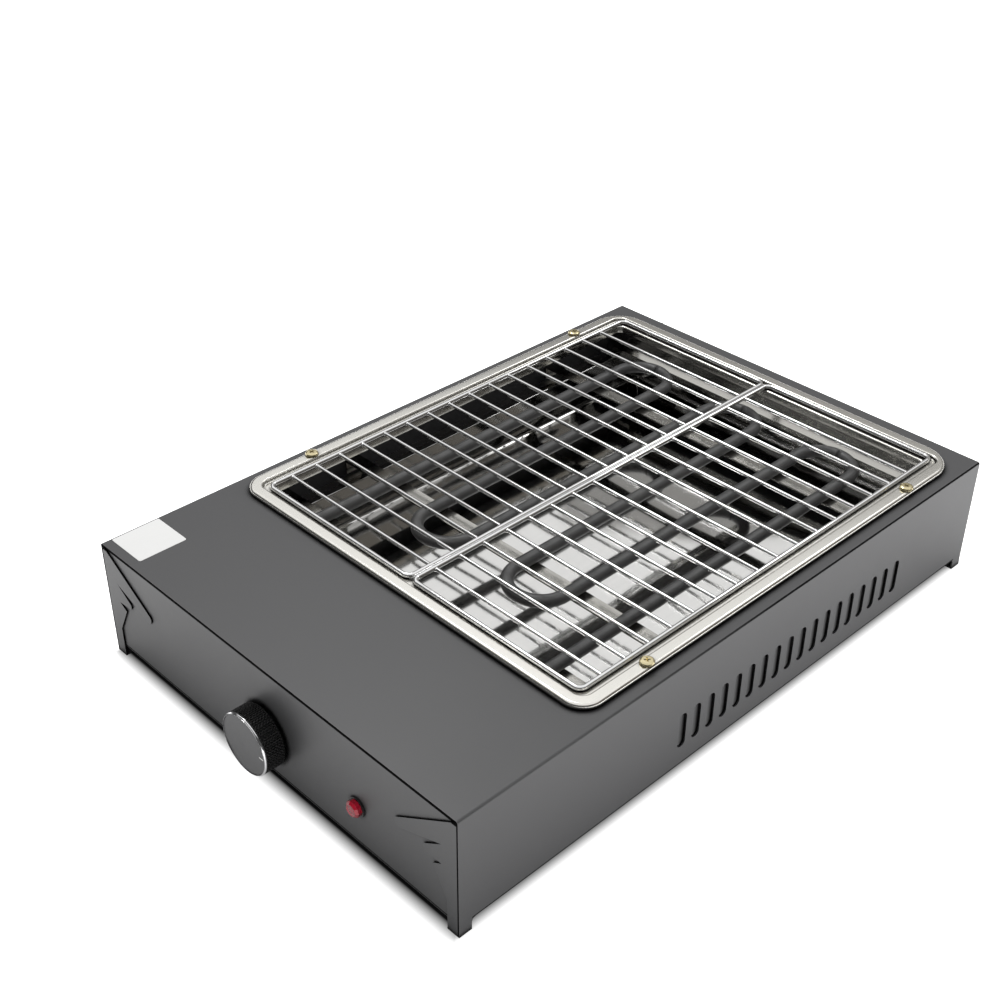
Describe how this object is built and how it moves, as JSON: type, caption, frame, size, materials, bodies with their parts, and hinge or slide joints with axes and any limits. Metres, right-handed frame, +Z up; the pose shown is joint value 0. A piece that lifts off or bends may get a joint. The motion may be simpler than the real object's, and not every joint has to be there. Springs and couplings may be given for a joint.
{
  "type": "countertop electric grill",
  "caption": "Flat sheet-metal electric grill with a stainless trim round the well, lift-off wire racks, tubular element, slide-out drip tray, heat knob and lamp.",
  "frame": {"origin": "centre of the footprint, on the worktop", "axes": "+Z up, -Y out of the front with the knob, +X to the right along the front"},
  "size_m": [0.32, 0.5, 0.0892],
  "materials": {
    "body_paint": "satin charcoal powder coat",
    "base_paint": "satin charcoal powder coat",
    "trim_steel": "stainless, fine satin",
    "brass_screw": "yellow passivated",
    "well_steel": "bright stainless",
    "dark_steel": "heat-proof black",
    "rail_steel": "bright stainless",
    "tray_steel": "polished stainless",
    "pull_steel": "satin",
    "element_sheath": "oxidised sheath, matte",
    "brass_fitting": "turned",
    "ceramic": "unglazed steatite",
    "zinc": "zinc plated",
    "phenolic": "moulded phenolic",
    "knob_black": "finely knurled black",
    "knob_bright": "diamond-cut bright rim",
    "knob_grey": "satin grey disc",
    "lamp_red": "translucent red",
    "black_plastic": "moulded",
    "lamp_retainer": "moulded",
    "lead_sleeve": "woven glass sleeve",
    "label_white": "blank film label with a thin plain border",
    "rack_chrome": "bright plated wire"
  },
  "bodies": {
    "grill": {"body_shell": "body_paint", "front_panel": "body_paint", "back_panel": "body_paint", "base_plate": "base_paint", "trim_frame": "trim_steel", "trim_screws": "brass_screw", "firewall": "well_steel", "rear_shield": "well_steel", "element_supports": "well_steel", "element_brackets": "well_steel", "left_side_shield": "dark_steel", "right_side_shield": "dark_steel", "left_tray_rail": "rail_steel", "right_tray_rail": "rail_steel", "heating_element": "element_sheath", "element_nuts": "brass_fitting", "regulator_blades": "brass_fitting", "terminal_screws": "brass_fitting", "earth_stud": "brass_fitting", "element_insulators": "ceramic", "terminal_block": "ceramic", "lead_splices": "ceramic", "element_pins": "zinc", "bush_nut": "zinc", "earth_nut": "zinc", "cutout_bracket": "zinc", "base_screws": "zinc", "back_screws": "zinc", "power_regulator": "phenolic", "thermal_cutout": "phenolic", "lamp_lens": "lamp_red", "lamp_body": "black_plastic", "cord_gland": "black_plastic", "gland_nut": "black_plastic", "lamp_nut": "lamp_retainer", "supply_leads": "lead_sleeve", "element_leads": "lead_sleeve", "lamp_leads": "lead_sleeve", "blank_label": "label_white"},
    "knob": {"knob_body": "knob_black", "knob_ring": "knob_bright", "knob_face": "knob_grey", "control_shaft": "zinc"},
    "drip_drawer": {"drip_tray": "tray_steel", "tray_end_plate": "body_paint", "tray_pull": "pull_steel"},
    "left_rack": {"rack_left": "rack_chrome"},
    "right_rack": {"rack_right": "rack_chrome"}
  },
  "joints": [
    {"name": "knob_turn", "type": "hinge", "parent": "grill", "child": "knob", "pos_m": [0, -0.235, 0.035], "axis": [0, 1, 0], "range_deg": [0, 270]},
    {"name": "drip_tray_slide", "type": "slide", "parent": "grill", "child": "drip_drawer", "axis": [0, 1, 0], "range_m": [0, 0.34]},
    {"name": "left_rack_lift", "type": "slide", "parent": "grill", "child": "left_rack", "axis": [0, 0, 1], "range_m": [0, 0.15]},
    {"name": "right_rack_lift", "type": "slide", "parent": "grill", "child": "right_rack", "axis": [0, 0, 1], "range_m": [0, 0.15]}
  ]
}
